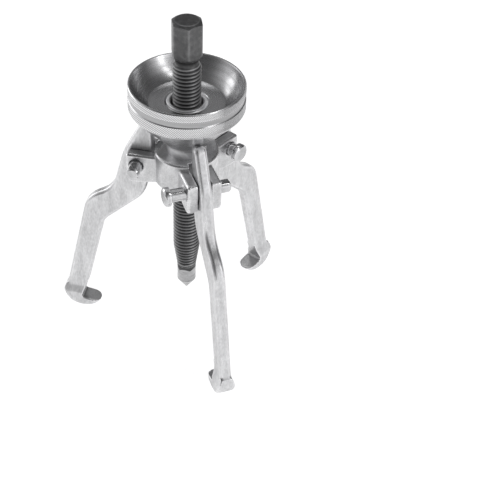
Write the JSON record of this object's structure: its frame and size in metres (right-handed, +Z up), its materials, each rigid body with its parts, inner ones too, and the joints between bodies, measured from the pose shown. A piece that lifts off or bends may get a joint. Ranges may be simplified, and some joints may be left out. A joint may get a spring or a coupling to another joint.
{
  "type": "gear puller",
  "caption": "Jaw puller with a knurled cone that closes the hooked jaws, and a hex-headed forcing screw with a hardened point.",
  "frame": {"origin": "on the forcing screw's axis, level with the lowest point of the three hooks, which is the plane the puller stands on", "axes": "+Z up along the forcing screw towards its hexagon; the front jaw lies towards -Y, the right and left jaws at 30 and 150 degrees from +X"},
  "size_m": [0.1388, 0.1206, 0.2099],
  "materials": {
    "plated_casting": "satin plating over a cast surface",
    "plated_forging": "satin plating over a forged surface",
    "turned_steel": "turned and plated, knurled rim",
    "black_oxide_steel": "black oxide, lightly oiled",
    "ground_steel": "ground bright",
    "polished_pin": "polished plating"
  },
  "bodies": {
    "yoke": {"yoke": "plated_casting"},
    "adjusting_cone": {"adjusting_cone": "turned_steel"},
    "forcing_screw": {"forcing_screw": "black_oxide_steel"},
    "screw_point": {"screw_point": "ground_steel"},
    "jaw_front": {"jaw_front": "plated_forging"},
    "jaw_right": {"jaw_right": "plated_forging"},
    "jaw_left": {"jaw_left": "plated_forging"},
    "pin_front": {"pin_front": "polished_pin"},
    "pin_right": {"pin_right": "polished_pin"},
    "pin_left": {"pin_left": "polished_pin"}
  },
  "joints": [
    {"name": "cone_feed", "type": "slide", "parent": "yoke", "child": "adjusting_cone", "axis": [0, 0, 1], "range_m": [-0.006, 0.005]},
    {"name": "jaw_front_swing", "type": "hinge", "parent": "yoke", "child": "jaw_front", "pos_m": [0, -0.0274, 0.1178], "axis": [1, 0, 0], "range_deg": [-14.4, 17.3]},
    {"name": "jaw_right_swing", "type": "hinge", "parent": "yoke", "child": "jaw_right", "pos_m": [0.02373, 0.0137, 0.1178], "axis": [-0.5, 0.866, 0], "range_deg": [-14.4, 17.3]},
    {"name": "jaw_left_swing", "type": "hinge", "parent": "yoke", "child": "jaw_left", "pos_m": [-0.02373, 0.0137, 0.1178], "axis": [-0.5, -0.866, 0], "range_deg": [-14.4, 17.3]},
    {"name": "screw_feed", "type": "slide", "parent": "yoke", "child": "screw_point", "axis": [0, 0, 1], "range_m": [-0.027, 0.045]},
    {"name": "screw_turn", "type": "hinge", "parent": "screw_point", "child": "forcing_screw", "pos_m": [0, 0, 0.043], "axis": [0, 0, 1], "range_deg": [-4215, 7020]},
    {"name": "pin_front_slide", "type": "slide", "parent": "yoke", "child": "pin_front", "axis": [1, 0, 0], "range_m": [-0.0062, 0.0087]},
    {"name": "pin_right_slide", "type": "slide", "parent": "yoke", "child": "pin_right", "axis": [-0.5, 0.866, 0], "range_m": [-0.0109, 0.004]},
    {"name": "pin_left_slide", "type": "slide", "parent": "yoke", "child": "pin_left", "axis": [-0.5, -0.866, 0], "range_m": [-0.0084, 0.0065]}
  ],
  "couplings": [
    {"joint": "jaw_front_swing", "follows": "cone_feed", "rad_per_m": -50},
    {"joint": "jaw_right_swing", "follows": "cone_feed", "rad_per_m": -50},
    {"joint": "jaw_left_swing", "follows": "cone_feed", "rad_per_m": -50},
    {"joint": "screw_turn", "follows": "screw_feed", "rad_per_m": 2721.1}
  ]
}
